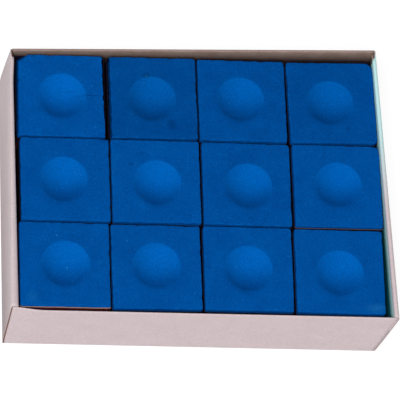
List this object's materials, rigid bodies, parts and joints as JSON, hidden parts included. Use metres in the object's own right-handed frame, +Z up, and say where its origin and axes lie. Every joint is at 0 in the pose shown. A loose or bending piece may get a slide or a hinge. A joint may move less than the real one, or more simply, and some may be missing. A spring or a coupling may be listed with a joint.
{
  "type": "boxed cue chalk",
  "caption": "Open folded paperboard tray packed with paper-wrapped blue billiard cue chalk cubes, each with a round dimple on top and each lifting straight out.",
  "frame": {"origin": "middle of the tray's flat underside", "axes": "+X along the long side of the tray towards its right-hand rolled end wall, +Y towards the back panel, +Z up; the front panel faces -Y"},
  "size_m": [0.0958, 0.0728, 0.0239],
  "materials": {
    "tray_board": "matte",
    "blue_chalk": "matte",
    "label_paper": "satin"
  },
  "bodies": {
    "tray": {"tray": "tray_board"},
    "cube_back_1": {"chalk_back_1": "blue_chalk", "label_back_1": "label_paper"},
    "cube_back_2": {"chalk_back_2": "blue_chalk", "label_back_2": "label_paper"},
    "cube_back_3": {"chalk_back_3": "blue_chalk", "label_back_3": "label_paper"},
    "cube_back_4": {"chalk_back_4": "blue_chalk", "label_back_4": "label_paper"},
    "cube_middle_1": {"chalk_middle_1": "blue_chalk", "label_middle_1": "label_paper"},
    "cube_middle_2": {"chalk_middle_2": "blue_chalk", "label_middle_2": "label_paper"},
    "cube_middle_3": {"chalk_middle_3": "blue_chalk", "label_middle_3": "label_paper"},
    "cube_middle_4": {"chalk_middle_4": "blue_chalk", "label_middle_4": "label_paper"},
    "cube_front_1": {"chalk_front_1": "blue_chalk", "label_front_1": "label_paper"},
    "cube_front_2": {"chalk_front_2": "blue_chalk", "label_front_2": "label_paper"},
    "cube_front_3": {"chalk_front_3": "blue_chalk", "label_front_3": "label_paper"},
    "cube_front_4": {"chalk_front_4": "blue_chalk", "label_front_4": "label_paper"}
  },
  "joints": [
    {"name": "lift_back_1", "type": "slide", "parent": "tray", "child": "cube_back_1", "axis": [0, 0, 1], "range_m": [0, 0.04]},
    {"name": "lift_back_2", "type": "slide", "parent": "tray", "child": "cube_back_2", "axis": [0, 0, 1], "range_m": [0, 0.04]},
    {"name": "lift_back_3", "type": "slide", "parent": "tray", "child": "cube_back_3", "axis": [0, 0, 1], "range_m": [0, 0.04]},
    {"name": "lift_back_4", "type": "slide", "parent": "tray", "child": "cube_back_4", "axis": [0, 0, 1], "range_m": [0, 0.04]},
    {"name": "lift_middle_1", "type": "slide", "parent": "tray", "child": "cube_middle_1", "axis": [0, 0, 1], "range_m": [0, 0.04]},
    {"name": "lift_middle_2", "type": "slide", "parent": "tray", "child": "cube_middle_2", "axis": [0, 0, 1], "range_m": [0, 0.04]},
    {"name": "lift_middle_3", "type": "slide", "parent": "tray", "child": "cube_middle_3", "axis": [0, 0, 1], "range_m": [0, 0.04]},
    {"name": "lift_middle_4", "type": "slide", "parent": "tray", "child": "cube_middle_4", "axis": [0, 0, 1], "range_m": [0, 0.04]},
    {"name": "lift_front_1", "type": "slide", "parent": "tray", "child": "cube_front_1", "axis": [0, 0, 1], "range_m": [0, 0.04]},
    {"name": "lift_front_2", "type": "slide", "parent": "tray", "child": "cube_front_2", "axis": [0, 0, 1], "range_m": [0, 0.04]},
    {"name": "lift_front_3", "type": "slide", "parent": "tray", "child": "cube_front_3", "axis": [0, 0, 1], "range_m": [0, 0.04]},
    {"name": "lift_front_4", "type": "slide", "parent": "tray", "child": "cube_front_4", "axis": [0, 0, 1], "range_m": [0, 0.04]}
  ]
}
